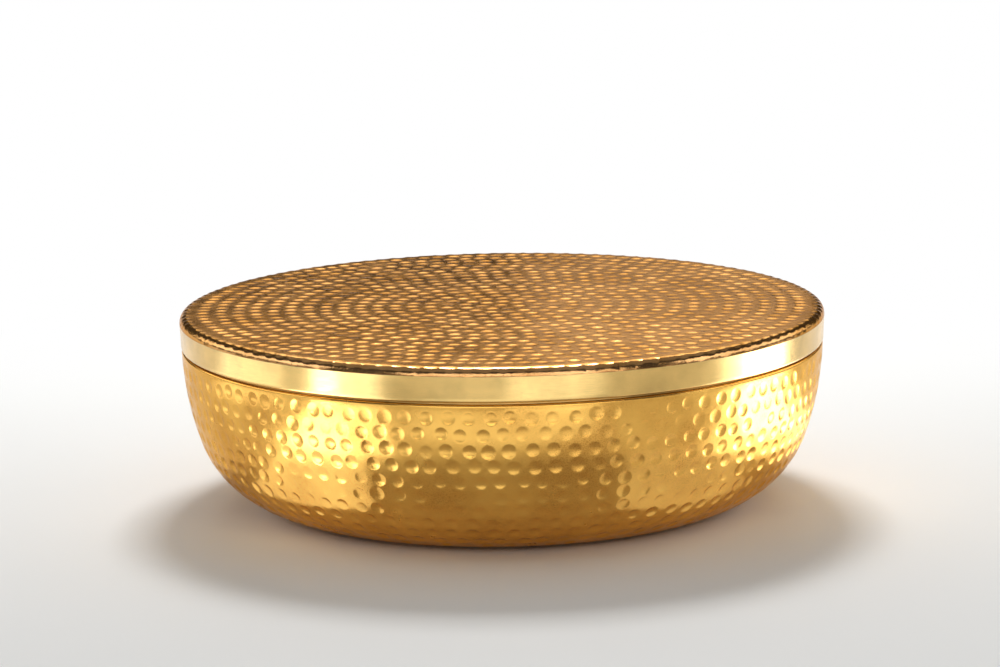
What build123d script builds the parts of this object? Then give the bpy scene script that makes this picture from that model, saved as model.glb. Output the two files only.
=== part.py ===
"""Large hammered brass bowl with a flat lift-off lid, in millimetres.

The bowl is one sheet with a flat base, a foot curve, a nearly upright wall and a rolled rim.
A collar brazed inside its mouth stands up into the lid and keeps it in place.
The lid is a hammered disc with a rounded corner, lapped into a smooth band with a rolled hem.
The origin is on the floor at the middle of the base, and +Z is up.
"""

import os
from math import acos, asin, atan2, cos, degrees, hypot, radians, sin, sqrt, tan

from build123d import *

os.makedirs("parts", exist_ok=True)

# Overall sizes
lid_diameter = 800.0
bowl_height = 198.5
lid_height = 41.0

# Bowl wall
mouth_inset = 2.0
foot_curve_radius = 126.0
wall_curve_radius = 363.0
mouth_lean = 1.65
bowl_sheet = 1.5

# Lid
lid_corner_radius = 10.0
lid_sheet = 1.5
joggle_drop = 3.0
band_lap = 8.0
lid_gap = 2.0
lid_play = 1.0

# Rolled edges and the wires inside them
rim_wire_diameter = 3.0
hem_wire_diameter = 3.0
wire_clearance = 0.1
roll_wrap = 265.0

# Locating collar
collar_sheet = 1.5
collar_land_top = 17.0
collar_land_height = 30.0
collar_joggle_height = 7.0
collar_seat_width = 16.0
collar_bend_radius = 3.0
braze_gap = 0.2

# Lid board and pads
board_thickness = 9.0
board_edge_gap = 2.0
board_lower_chamfer = 1.0
rest_pad_diameter = 12.0
rest_pad_thickness = 2.5
rest_pad_count = 6
seat_gap = 0.3
base_pad_diameter = 40.0
base_pad_thickness = 2.0
base_pad_inset = 18.0
base_pad_count = 4
pad_edge = 0.4


def around(centre, radius, angle):
    """Give the point at an angle in degrees on a circle in the profile plane."""
    return (centre[0] + radius * cos(radians(angle)), centre[1] + radius * sin(radians(angle)))


# Bowl profile: the rolled rim sets the wall's end, and the foot curve meets wall and base smoothly
lid_radius = lid_diameter / 2
mouth_radius = lid_radius - mouth_inset
base_z = base_pad_thickness
rim_z = base_z + bowl_height
rim_roll = rim_wire_diameter / 2 + wire_clearance + bowl_sheet
rim_centre = (mouth_radius - rim_roll, rim_z - rim_roll)
wall_centre = around(rim_centre, wall_curve_radius - rim_roll, 180 - mouth_lean)
foot_z = base_z + foot_curve_radius
foot_reach = wall_curve_radius - foot_curve_radius
base_flat_radius = wall_centre[0] + sqrt(foot_reach**2 - (wall_centre[1] - foot_z) ** 2)
foot_centre = (base_flat_radius, foot_z)
foot_turn = degrees(atan2(base_flat_radius - wall_centre[0], wall_centre[1] - foot_z))
wall_turn = 90 - foot_turn - mouth_lean
rim_inner_radius = mouth_radius - 2 * rim_roll

# Lid profile: the band leans in from the corner to a hem that clears the collar by the lid's play
collar_radius = rim_inner_radius - braze_gap
lid_bottom_z = rim_z + lid_gap
lid_top_z = lid_bottom_z + lid_height
corner_centre = (lid_radius - lid_corner_radius, lid_top_z - lid_corner_radius)
band_top_z = corner_centre[1] - braze_gap
hem_roll = hem_wire_diameter / 2 + wire_clearance + lid_sheet
hem_centre = (collar_radius + lid_play + hem_roll, lid_bottom_z + hem_roll)
band_run = (lid_radius - hem_centre[0], band_top_z - hem_centre[1])
band_lean = degrees(acos(hem_roll / hypot(*band_run)) - atan2(band_run[1], band_run[0]))
hem_start = -band_lean


def band_inner_radius(z):
    """Give the radius of the band's inner face at a height."""
    return lid_radius - lid_sheet / cos(radians(band_lean)) - (band_top_z - z) * tan(radians(band_lean))


flange_top_z = corner_centre[1] - joggle_drop
flange_bottom_z = flange_top_z - band_lap
flange_top_radius = band_inner_radius(flange_top_z) - braze_gap
flange_bottom_radius = band_inner_radius(flange_bottom_z) - braze_gap
bevel_slope = joggle_drop / (lid_radius - flange_top_radius)
bevel_z = band_top_z - bevel_slope * lid_sheet

# Board under the lid top, and the collar's seat below it
board_top_z = lid_top_z - lid_sheet
board_bottom_z = board_top_z - board_thickness
board_radius = flange_bottom_radius - lid_sheet - board_edge_gap
board_upper_chamfer = max(board_radius - corner_centre[0], board_lower_chamfer)
seat_z = board_bottom_z - seat_gap - rest_pad_thickness
collar_outer_bend = collar_bend_radius + collar_sheet
collar_bore_radius = collar_radius - collar_outer_bend - collar_seat_width
rest_pad_radius = collar_radius - collar_outer_bend - collar_seat_width / 2
base_pad_radius = base_flat_radius - base_pad_inset - base_pad_diameter / 2

# Collar land: a band of the wall's inner face, joined to the upright part by a joggle
land_face = wall_curve_radius - bowl_sheet - braze_gap
land_top_z = rim_z - collar_land_top
land_bottom_z = land_top_z - collar_land_height
land_top_angle = -degrees(asin((wall_centre[1] - land_top_z) / land_face))
land_bottom_angle = -degrees(asin((wall_centre[1] - land_bottom_z) / land_face))
land_span = land_top_angle - land_bottom_angle
upright_bottom_z = land_top_z + collar_joggle_height

# Bowl shell: flat base, foot curve, wall and rolled rim in one sheet
with BuildPart() as bowl_shell:
    with BuildSketch(Plane.XZ):
        with BuildLine():
            wrap_end = roll_wrap - mouth_lean
            Line((0, base_z), (base_flat_radius, base_z))
            CenterArc(foot_centre, foot_curve_radius, -90, foot_turn)
            CenterArc(wall_centre, wall_curve_radius, -90 + foot_turn, wall_turn)
            CenterArc(rim_centre, rim_roll, -mouth_lean, roll_wrap)
            Line(around(rim_centre, rim_roll, wrap_end), around(rim_centre, rim_roll - bowl_sheet, wrap_end))
            CenterArc(rim_centre, rim_roll - bowl_sheet, -mouth_lean, roll_wrap)
            CenterArc(wall_centre, wall_curve_radius - bowl_sheet, -90 + foot_turn, wall_turn)
            CenterArc(foot_centre, foot_curve_radius - bowl_sheet, -90, foot_turn)
            Line((base_flat_radius, base_z + bowl_sheet), (0, base_z + bowl_sheet))
            Line((0, base_z + bowl_sheet), (0, base_z))
        make_face()
    revolve(axis=Axis.Z)
bowl_shell.part.label = "bowl_shell"
export_step(bowl_shell.part, "parts/bowl_shell.step")

# Rim wire: the steel ring that the bowl's edge is rolled over
with BuildPart() as rim_wire:
    with BuildSketch(Plane.XZ):
        with Locations(rim_centre):
            Circle(rim_wire_diameter / 2)
    revolve(axis=Axis.Z)
rim_wire.part.label = "rim_wire"
export_step(rim_wire.part, "parts/rim_wire.step")

# Locating collar: land against the wall, joggle past the rolled rim, upright ring and inward seat
with BuildPart() as locating_collar:
    with BuildSketch(Plane.XZ):
        with BuildLine():
            inner_radius = collar_radius - collar_sheet
            bend_centre = (collar_radius - collar_outer_bend, seat_z - collar_outer_bend)
            land_top = around(wall_centre, land_face, land_top_angle)
            land_top_inner = around(wall_centre, land_face - collar_sheet, land_top_angle)
            CenterArc(wall_centre, land_face, land_bottom_angle, land_span)
            Line(land_top, (collar_radius, upright_bottom_z))
            Line((collar_radius, upright_bottom_z), (collar_radius, bend_centre[1]))
            CenterArc(bend_centre, collar_outer_bend, 0, 90)
            Line((bend_centre[0], seat_z), (collar_bore_radius, seat_z))
            Line((collar_bore_radius, seat_z), (collar_bore_radius, seat_z - collar_sheet))
            Line((collar_bore_radius, seat_z - collar_sheet), (bend_centre[0], seat_z - collar_sheet))
            CenterArc(bend_centre, collar_bend_radius, 0, 90)
            Line((inner_radius, bend_centre[1]), (inner_radius, upright_bottom_z))
            Line((inner_radius, upright_bottom_z), land_top_inner)
            CenterArc(wall_centre, land_face - collar_sheet, land_bottom_angle, land_span)
            Line(
                around(wall_centre, land_face - collar_sheet, land_bottom_angle),
                around(wall_centre, land_face, land_bottom_angle),
            )
        make_face()
    revolve(axis=Axis.Z)
locating_collar.part.label = "locating_collar"
export_step(locating_collar.part, "parts/locating_collar.step")

# Lid top: flat hammered disc, rounded corner, and a joggled flange that laps inside the band
with BuildPart() as lid_top:
    with BuildSketch(Plane.XZ):
        with BuildLine():
            flat_radius, corner_z = corner_centre
            Line((0, lid_top_z), (flat_radius, lid_top_z))
            CenterArc(corner_centre, lid_corner_radius, 90, -90)
            Polyline(
                (lid_radius, corner_z),
                (flange_top_radius, flange_top_z),
                (flange_bottom_radius, flange_bottom_z),
                (flange_bottom_radius - lid_sheet, flange_bottom_z),
                (flange_top_radius - lid_sheet, flange_top_z),
                (lid_radius - lid_sheet, corner_z),
            )
            CenterArc(corner_centre, lid_corner_radius - lid_sheet, 0, 90)
            Polyline((flat_radius, board_top_z), (0, board_top_z), (0, lid_top_z))
        make_face()
    revolve(axis=Axis.Z)
lid_top.part.label = "lid_top"
export_step(lid_top.part, "parts/lid_top.step")

# Lid band: smooth sheet ring, bevelled where it meets the top, with a hem rolled inward
with BuildPart() as lid_band:
    with BuildSketch(Plane.XZ):
        with BuildLine():
            hem_end = hem_start - roll_wrap
            hem_bore = hem_roll - lid_sheet
            Line((lid_radius, band_top_z), around(hem_centre, hem_roll, hem_start))
            CenterArc(hem_centre, hem_roll, hem_start, -roll_wrap)
            Line(around(hem_centre, hem_roll, hem_end), around(hem_centre, hem_bore, hem_end))
            CenterArc(hem_centre, hem_bore, hem_start, -roll_wrap)
            Polyline(
                around(hem_centre, hem_bore, hem_start),
                (band_inner_radius(bevel_z), bevel_z),
                (lid_radius, band_top_z),
            )
        make_face()
    revolve(axis=Axis.Z)
lid_band.part.label = "lid_band"
export_step(lid_band.part, "parts/lid_band.step")

# Hem wire: the steel ring inside the band's rolled hem
with BuildPart() as hem_wire:
    with BuildSketch(Plane.XZ):
        with Locations(hem_centre):
            Circle(hem_wire_diameter / 2)
    revolve(axis=Axis.Z)
hem_wire.part.label = "hem_wire"
export_step(hem_wire.part, "parts/hem_wire.step")

# Lid board: plywood disc glued under the lid top, bevelled to clear the rounded corner
with BuildPart() as lid_board:
    with BuildSketch(Plane.XY.offset(board_bottom_z)):
        Circle(board_radius)
    extrude(amount=board_thickness)
    rims = lid_board.edges().filter_by(GeomType.CIRCLE).sort_by(Axis.Z)
    chamfer(rims[-1], length=board_upper_chamfer)
    chamfer(lid_board.edges().filter_by(GeomType.CIRCLE).sort_by(Axis.Z)[0], length=board_lower_chamfer)
lid_board.part.label = "lid_board"
export_step(lid_board.part, "parts/lid_board.step")


def make_pad(diameter, thickness, radius, angle, z):
    """Make one round pad with eased edges, at an angle and radius, standing on a height."""
    with BuildPart() as pad:
        with BuildSketch(Plane.XY.offset(z)):
            with PolarLocations(radius, 1, start_angle=angle):
                Circle(diameter / 2)
        extrude(amount=thickness)
        chamfer(pad.edges().filter_by(GeomType.CIRCLE), length=pad_edge)
    return pad


# Rest pads: rubber, spaced round the collar's seat, on which the lid board lies
for index in range(rest_pad_count):
    rest_angle = 360 / rest_pad_count * (index + 0.5)
    rest_pad = make_pad(rest_pad_diameter, rest_pad_thickness, rest_pad_radius, rest_angle, seat_z)
    rest_pad.part.label = f"rest_pad_{index + 1}"
    export_step(rest_pad.part, f"parts/rest_pad_{index + 1}.step")

# Base pads: felt, under the flat base
for index in range(base_pad_count):
    base_angle = 360 / base_pad_count * (index + 0.5)
    base_pad = make_pad(base_pad_diameter, base_pad_thickness, base_pad_radius, base_angle, 0)
    base_pad.part.label = f"base_pad_{index + 1}"
    export_step(base_pad.part, f"parts/base_pad_{index + 1}.step")

print(f"base flat radius {base_flat_radius:.2f}, foot turn {foot_turn:.2f} degrees")
print(f"collar radius {collar_radius:.2f}, collar bore radius {collar_bore_radius:.2f}")
print(f"band lean {band_lean:.2f} degrees, hem centre radius {hem_centre[0]:.2f}")
print(f"rim {rim_z:.2f}, lid bottom {lid_bottom_z:.2f}, lid top {lid_top_z:.2f}")
print(f"board radius {board_radius:.2f}, board bottom {board_bottom_z:.2f}, seat {seat_z:.2f}")
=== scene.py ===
"""Dresses a large hammered brass bowl and its lift-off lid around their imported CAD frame.

Laid out as an add-on and run as a script. Lengths are metres, and MM turns a size in millimetres
into metres. A round sheet is described by its outer face, followed outward from its middle.
"""

from math import acos, atan2, cos, degrees, hypot, pi, radians, sin, sqrt, tan

import bpy
import numpy as np
from bpy.props import FloatProperty, FloatVectorProperty, IntProperty, PointerProperty
from bpy.types import Node, NodeSocket, Operator, Panel, PropertyGroup
from mathutils import Matrix, Vector, noise
from mathutils.geometry import delaunay_2d_cdt


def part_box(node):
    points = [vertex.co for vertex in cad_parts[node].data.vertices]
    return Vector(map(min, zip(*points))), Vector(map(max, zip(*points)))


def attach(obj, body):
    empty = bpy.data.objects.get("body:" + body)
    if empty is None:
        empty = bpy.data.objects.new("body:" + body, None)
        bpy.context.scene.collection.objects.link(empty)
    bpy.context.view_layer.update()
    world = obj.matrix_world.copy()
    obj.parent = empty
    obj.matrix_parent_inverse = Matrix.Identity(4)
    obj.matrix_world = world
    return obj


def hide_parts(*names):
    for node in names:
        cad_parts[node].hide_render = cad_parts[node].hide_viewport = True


bl_info = {
    "name": "Hammered Brass Bowl",
    "version": (1, 0, 0),
    "blender": (4, 5, 0),
    "location": "View3D > Sidebar > Brass Bowl",
    "description": "Dresses a hammered brass bowl with a lift-off lid around its CAD frame",
    "category": "Add Mesh",
}

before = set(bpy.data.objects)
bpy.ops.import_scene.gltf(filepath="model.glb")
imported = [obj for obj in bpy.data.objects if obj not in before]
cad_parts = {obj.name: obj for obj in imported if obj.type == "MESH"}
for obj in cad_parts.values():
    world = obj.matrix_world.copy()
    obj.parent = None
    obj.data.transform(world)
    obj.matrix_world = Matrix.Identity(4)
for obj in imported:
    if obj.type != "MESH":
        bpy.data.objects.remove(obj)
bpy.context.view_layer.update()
MM = 0.001

# The photograph's frame, and the camera that was fitted to the outline in it
PHOTO_WIDTH = 1000
CAMERA_FOCAL_PIXELS = 3840.7
SENSOR_WIDTH_MM = 36.0

# Places read from the frame
LID_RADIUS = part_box("lid_top")[1].x
LID_TOP_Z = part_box("lid_top")[1].z
FLANGE_BOTTOM_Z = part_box("lid_top")[0].z
BAND_TOP_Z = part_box("lid_band")[1].z
BAND_BOTTOM_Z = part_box("lid_band")[0].z
MOUTH_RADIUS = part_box("bowl_shell")[1].x
BASE_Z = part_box("bowl_shell")[0].z
RIM_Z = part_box("bowl_shell")[1].z
COLLAR_TOP_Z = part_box("locating_collar")[1].z
COLLAR_BOTTOM_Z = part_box("locating_collar")[0].z
BOARD_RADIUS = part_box("lid_board")[1].x
BOARD_TOP_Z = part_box("lid_board")[1].z
BOARD_BOTTOM_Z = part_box("lid_board")[0].z

# Fineness of the round pieces
ROUND_STEPS = 256
ARC_STEP = 0.25 * MM
ROLL_STEPS = 16
COLLAR_STEPS = 8
PAD_STEPS = 32
PAD_EDGE_STEPS = 3
BAND_ROWS = 8
FLOOR_STEPS = 96

# Fineness of the hammered sheets: rings of points round each mark, as shares of its reach and
# counts of points, and the distance between the rows of points that fill the rest
OUTER_RINGS = ((0, 1), (0.45, 7), (0.82, 14), (1, 14), (1.1, 14))
INNER_RINGS = ((0, 1), (0.7, 7), (1, 7))
OUTER_ROW_PITCH = 9 * MM
INNER_ROW_PITCH = 12 * MM
CORNER_ROW_PITCH = 2.6 * MM
CORNER_ROWS = 6

# How near the filling points come to the sheet's edge, and the marks' points to it
BOWL_EDGE_MARGIN = 4 * MM
LID_EDGE_MARGIN = 22 * MM
MARK_EDGE_MARGIN = 0.5 * MM

# How near the filling points come to a mark's middle, as shares of its reach
BOWL_OUTER_CLEARANCE = 1.35
BOWL_INNER_CLEARANCE = 1.5
LID_CLEARANCE = 1.3

# Points nearer together than this are one, in a profile and on a flattened sheet
PROFILE_STEP = 0.001 * MM
MERGE_DISTANCE = 0.01 * MM
WALK_ROUNDS = 6

# How hand hammering makes the marks differ
SIZE_STRAY = 0.06
DEPTH_STRAY = 0.3
PHASE_STRAY = 0.2
FAINT_SHARE = 0.06
FAINT_DEPTH = 0.45

# The sheets' waviness dies out within this distance of their edge
STIFF_EDGE = 30 * MM
BAND_SWELLS = 3

# Angles in degrees past which an edge is shaded sharp
SHARP_ANGLE = 35.0
PAD_SHARP_ANGLE = 50.0

# The floor's inner disc, the lamps' tints, and the point above it that a card of light faces
FLOOR_MIDDLE_RADIUS = 2
WHITE = "#FFFFFF"
DAYLIGHT = "#DCEAFF"
CARD_AIM_HEIGHT = 3.0

# Sockets of a colour Mix node, whose names are shared with its sockets for other data
MIX_SHARE, MIX_FIRST, MIX_SECOND, MIX_RESULT = 0, 6, 7, 2


def wire_centre(node):
    """Give the radius and height of the middle of a round wire."""
    low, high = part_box(node)
    return high.x - (high.z - low.z) / 2, (low.z + high.z) / 2


RIM_CENTRE = wire_centre("rim_wire")
RIM_ROLL = RIM_Z - RIM_CENTRE[1]
HEM_CENTRE = wire_centre("hem_wire")
HEM_ROLL = HEM_CENTRE[1] - BAND_BOTTOM_Z


def linear(hex_colour):
    """Turn an sRGB hex colour into linear red, green and blue."""
    parts = [int(hex_colour[i : i + 2], 16) / 255 for i in (1, 3, 5)]
    return tuple(c / 12.92 if c <= 0.04045 else ((c + 0.055) / 1.055) ** 2.4 for c in parts)


def rgba(colour):
    """Give a colour its alpha."""
    return (*colour, 1.0)


# Settings


def length(name, description, default, **options):
    """Make a length property."""
    return FloatProperty(name=name, description=description, default=default, unit="LENGTH", **options)


def factor(name, description, default, **options):
    """Make a property that is a share or a plain number."""
    return FloatProperty(name=name, description=description, default=default, **options)


def turn(name, description, default):
    """Make an angle property, with its default in degrees."""
    return FloatProperty(name=name, description=description, default=radians(default), subtype="ANGLE")


def colour(name, description, hex_colour):
    """Make a colour property from an sRGB hex colour."""
    return FloatVectorProperty(
        name=name, description=description, default=linear(hex_colour), subtype="COLOR", min=0, max=1
    )


def group(kind, name, description):
    """Make a property that holds a group of settings."""
    return PointerProperty(type=kind, name=name, description=description)


class BowlShape(PropertyGroup):
    """Sizes of the bowl's sheet."""

    foot_radius: length("Foot curve", "Radius of the curve between base and wall", 126 * MM)
    wall_radius: length("Wall curve", "Radius of the wall's slight belly", 363 * MM)
    mouth_lean: turn("Mouth lean", "How far the wall leans out at the mouth", 1.65)
    sheet: length("Sheet", "Thickness of the brass sheet", 1.5 * MM)
    roll_wrap: turn("Rim wrap", "How far the sheet turns round its wire", 265)


class LidShape(PropertyGroup):
    """Sizes of the lid's sheets."""

    corner_radius: length("Corner", "Radius of the lid's rounded corner", 10 * MM)
    sheet: length("Sheet", "Thickness of the brass sheet", 1.5 * MM)
    joggle_drop: length("Joggle", "Height in which the flange steps inside the band", 3 * MM)
    lap_gap: length("Lap gap", "Brazed gap between flange and band", 0.2 * MM)
    hem_wrap: turn("Hem wrap", "How far the band turns round its wire", 265)
    band_waviness: length("Band waviness", "How far the planished band strays from round", 0.3 * MM)
    board_edge: length("Board edge", "Easing of the board's lower edge", 1 * MM)


class CollarShape(PropertyGroup):
    """Sizes of the collar inside the bowl's mouth."""

    sheet: length("Sheet", "Thickness of the collar's sheet", 1.5 * MM)
    land_gap: length("Braze gap", "Gap between collar and wall that the braze fills", 0.2 * MM)
    land_height: length("Land", "Height of the collar's band on the wall", 30 * MM)
    joggle_height: length("Joggle", "Height in which the collar steps inward", 7 * MM)
    bend_radius: length("Bend", "Inner radius of the bend to the seat", 3 * MM)
    seat_width: length("Seat", "Width of the seat", 16 * MM)
    ease: length("Eased edge", "Easing of the seat's inner edge", 0.3 * MM)


class PadShape(PropertyGroup):
    """Sizes of the rubber rest pads and the felt base pads."""

    rest_diameter: length("Rest pad", "Diameter of a rubber pad on the collar's seat", 12 * MM)
    base_diameter: length("Base pad", "Diameter of a felt pad under the base", 40 * MM)
    edge: length("Pad edge", "Radius of a pad's rounded edge", 0.4 * MM)


class BowlHammering(PropertyGroup):
    """How the bowl's wall is hammered."""

    diameter: length("Mark", "Diameter of a hammer mark", 17.4 * MM)
    depth: length("Depth", "Depth of a hammer mark", 1.6 * MM)
    collar_depth: length("Depth over the collar", "Depth of the marks that the collar backs", 1.1 * MM)
    dish: factor("Dish", "How flat a mark is inside its edge", 2.4)
    lip: length("Smooth lip", "Smooth sheet from the rim to the middle of the first row", 12.9 * MM)
    row_pitch: length("Row pitch", "Distance from row to row", 20.2 * MM)
    pitch: length("Pitch", "Distance from mark to mark along a row", 24.4 * MM)
    rows: IntProperty(name="Rows", description="Rows from the mouth to the base", default=13)
    stray_along: factor("Stray along", "Random shift along a row, as a share of the pitch", 0.10)
    stray_across: length("Stray across", "Random shift across a row", 1.6 * MM)
    waviness: length("Waviness", "How far the sheet strays from its true curve", 0.5 * MM)
    wave: length("Wave", "Distance from swell to swell of that waviness", 110 * MM)
    seed: IntProperty(name="Seed", description="Seed of the random shifts", default=11)


class LidHammering(PropertyGroup):
    """How the lid's top is hammered."""

    diameter: length("Mark", "Diameter of a hammer mark", 17.2 * MM)
    depth: length("Depth", "Depth of a hammer mark", 0.9 * MM)
    dish: factor("Dish", "How flat a mark is inside its edge", 3.0)
    first_ring: length("First ring", "Radius of the first ring round the middle mark", 24 * MM)
    ring_pitch: length("Ring pitch", "Distance from ring to ring", 21.62 * MM)
    rings: IntProperty(name="Rings", description="Rings round the middle mark", default=17)
    pitch: length("Pitch", "Distance from mark to mark near the middle", 22.7 * MM)
    edge_pitch: length("Edge pitch", "Distance from mark to mark in the last ring", 19.4 * MM)
    edge_start: length("Edge start", "Radius from which the marks draw closer", 300 * MM)
    corner_distance: length("Corner row", "Distance along the sheet to the row on the corner", 393.5 * MM)
    corner_count: IntProperty(name="Corner marks", description="Marks round the corner", default=124)
    corner_reach: length("Corner reach", "Half the height of a mark on the corner", 7 * MM)
    corner_depth: length("Corner depth", "Depth of a mark on the corner", 0.5 * MM)
    stray_along: factor("Stray along", "Random shift along a ring, as a share of the pitch", 0.06)
    stray_across: length("Stray across", "Random shift across a ring", 1.1 * MM)
    waviness: length("Waviness", "How far the sheet strays from flat", 0.3 * MM)
    wave: length("Wave", "Distance from swell to swell of that waviness", 150 * MM)
    seed: IntProperty(name="Seed", description="Seed of the random shifts", default=23)


class Finishes(PropertyGroup):
    """Colours of the finishes."""

    brass: colour("Brass", "Polished hammered brass", "#F0B858")
    brass_dull: colour("Dulled brass", "The same brass where polish has worn off", "#C98D3C")
    brass_edge: colour("Brass at a slant", "The same brass where it is seen at a slant", "#F0DDC0")
    # The lid's three colours are painted shade. They are darker and browner than the bowl's brass and
    # stand in for the dimmer reflection on the lid's top. The duller patches are random wear.
    lid_painted_shade_brass: colour("Lid brass painted darker", "Lid brass, painted darker as shade", "#DDAA6F")
    lid_painted_shade_dull: colour("Duller lid brass, painted darker", "Lid brass dulled in patches, painted darker as shade", "#A87236")
    lid_painted_shade_edge: colour("Lid brass painted darker, at a slant", "Lid brass at a slant, painted darker as shade", "#E7C49A")
    band_brass: colour("Band brass", "Smooth brass of the band", "#EFC679")
    collar_brass: colour("Collar brass", "Satin brass inside the mouth", "#D9AC62")
    steel: colour("Wire", "Drawn steel wire", "#A9A9A6")
    ply_face: colour("Plywood face", "Birch face of the board", "#D9BE90")
    ply_core: colour("Plywood core", "Darker plies in the board's edge", "#A97F4C")
    rubber: colour("Rubber", "Black rest pads", "#1E1E1E")
    felt: colour("Felt", "Brown base pads", "#55473C")
    floor: colour("Floor", "Pale studio floor", "#EDEDEB")


class Studio(PropertyGroup):
    """Camera, floor and lights."""

    distance: length("Camera distance", "From the camera to the bowl's axis", 4.8)
    aim_height: length("Aim height", "Height about which the distance is measured", 0.12)
    elevation: turn("Elevation", "Camera angle above the floor", 11.849)
    roll: turn("Roll", "Camera roll", -0.923)
    aim_x: length("Aim across", "Point looked at, across", -2.6 * MM)
    aim_z: length("Aim up", "Point looked at, up", 207.75 * MM)
    floor_radius: length("Floor radius", "Radius of the floor", 12.0)
    cove_height: length("Cove height", "Height of the pale wall round the floor", 1.0)
    floor_middle: length("Floor middle", "How far in front of the bowl the lit floor has its middle", 0.9)
    near_floor: length("Near floor", "Radius within which the floor is lit by the lamps alone", 1.5)
    far_floor: length("Far floor", "Radius from which the floor is plain white", 2.2)
    sky: factor("Sky", "Strength of the grey above the cove", 0.07)


# Profiles


def around(centre, radius, angle):
    """Give the point at an angle in degrees on a circle in the profile plane."""
    return (centre[0] + radius * cos(radians(angle)), centre[1] + radius * sin(radians(angle)))


def run(start, end):
    """Give a straight run as rows of radius, height and heading."""
    heading = atan2(end[1] - start[1], end[0] - start[0])
    return [(*start, heading), (*end, heading)]


def bend(centre, radius, start, turned, step=ARC_STEP):
    """Give an arc as rows of radius, height and heading, with its angles in degrees."""
    count = max(2, round(abs(radians(turned)) * radius / step))
    side = 90 if turned > 0 else -90
    angles = [start + turned * i / count for i in range(count + 1)]
    return [(*around(centre, radius, a), radians(a + side)) for a in angles]


def bend_points(centre, radius, start, turned, count):
    """Give the points of an arc, ends included, with its angles in degrees."""
    return [around(centre, radius, start + turned * i / count) for i in range(count + 1)]


class Sheet:
    """A round sheet's outer face, from its middle to where its edge treatment starts."""

    def __init__(self, rows, inward_side):
        rows = np.array(rows)
        steps = np.hypot(*np.diff(rows[:, :2], axis=0).T)
        kept = np.concatenate(([True], steps > PROFILE_STEP))
        rows = rows[kept]
        self.distance = np.concatenate(([0.0], np.cumsum(np.hypot(*np.diff(rows[:, :2], axis=0).T))))
        self.radius, self.height, self.heading = rows.T
        self.inward_side = inward_side
        self.reach = self.distance[-1]

    def at(self, distance):
        """Give radius, height and heading at distances from the middle."""
        size = np.abs(distance)
        radius = np.copysign(np.interp(size, self.distance, self.radius), distance)
        height = np.interp(size, self.distance, self.height)
        return radius, height, np.interp(size, self.distance, self.heading)

    def walk(self, start, forward):
        """Find the distance whose point lies forward of start, as seen along start's tangent."""
        start_radius, start_height, start_heading = self.at(start)
        distance = start + forward
        for _ in range(WALK_ROUNDS):
            radius, height, heading = self.at(distance)
            ahead = (radius - start_radius) * np.cos(start_heading)
            ahead += (height - start_height) * np.sin(start_heading)
            distance = distance + (forward - ahead) / np.cos(heading - start_heading)
        return distance

    def place(self, distance, azimuth, depth=0.0):
        """Give the points at distances and azimuths, and the unit vectors into the sheet there."""
        radius, height, heading = self.at(distance)
        inward_radius = -self.inward_side * np.sin(heading)
        inward_height = self.inward_side * np.cos(heading)
        radius = radius + depth * inward_radius
        height = height + depth * inward_height
        points = np.stack((radius * np.cos(azimuth), radius * np.sin(azimuth), height), -1)
        inward = (inward_radius * np.cos(azimuth), inward_radius * np.sin(azimuth), inward_height)
        return points, np.stack(inward, -1)


def bowl_sheet(shape):
    """Follow the bowl's outer face: flat base, foot curve and wall."""
    lean = degrees(shape.mouth_lean)
    wall_centre = around(RIM_CENTRE, shape.wall_radius - RIM_ROLL, 180 - lean)
    foot_z = BASE_Z + shape.foot_radius
    foot_reach = shape.wall_radius - shape.foot_radius
    flat = wall_centre[0] + sqrt(foot_reach**2 - (wall_centre[1] - foot_z) ** 2)
    foot_turn = degrees(atan2(flat - wall_centre[0], wall_centre[1] - foot_z))
    rows = run((0, BASE_Z), (flat, BASE_Z))
    rows += bend((flat, foot_z), shape.foot_radius, -90, foot_turn)
    rows += bend(wall_centre, shape.wall_radius, foot_turn - 90, 90 - foot_turn - lean)
    return Sheet(rows, 1), wall_centre


def lid_sheet(shape):
    """Follow the lid's outer face: flat top and rounded corner."""
    flat = LID_RADIUS - shape.corner_radius
    rows = run((0, LID_TOP_Z), (flat, LID_TOP_Z))
    rows += bend((flat, LID_TOP_Z - shape.corner_radius), shape.corner_radius, 90, -90)
    return Sheet(rows, -1)


# Hammer marks


def mark_row(rng, distance, count, phase, hammering, reach_along, reach_across, depth):
    """Lay one row of marks round a sheet, each a little off its place, size and depth."""
    spread = 2 * pi / count
    azimuth = (np.arange(count) + phase + rng.uniform(-1, 1, count) * hammering.stray_along) * spread
    size = 1 + rng.uniform(-SIZE_STRAY, SIZE_STRAY, count)
    faint = np.where(rng.random(count) < FAINT_SHARE, FAINT_DEPTH, 1.0)
    strength = faint * (1 + rng.uniform(-DEPTH_STRAY, DEPTH_STRAY, count))
    shifted = distance + rng.uniform(-1, 1, count) * hammering.stray_across
    return np.stack((shifted, azimuth, reach_along * size, reach_across * size, depth * strength), -1)


def bowl_marks(sheet, hammering):
    """Lay the rows of marks from the bowl's mouth to its base."""
    rng = np.random.default_rng(hammering.seed)
    reach = hammering.diameter / 2
    backed_z = COLLAR_BOTTOM_Z - hammering.diameter
    rows = []
    for index in range(hammering.rows):
        distance = sheet.reach - hammering.lip - index * hammering.row_pitch
        radius = float(sheet.at(distance)[0])
        count = round(2 * pi * radius / hammering.pitch)
        phase = 0.5 * (index % 2) + rng.uniform(-PHASE_STRAY, PHASE_STRAY)
        backed = float(sheet.at(distance - hammering.diameter)[1]) > backed_z
        depth = hammering.collar_depth if backed else hammering.depth
        rows.append(mark_row(rng, distance, count, phase, hammering, reach, reach, depth))
    return np.concatenate(rows)


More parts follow.
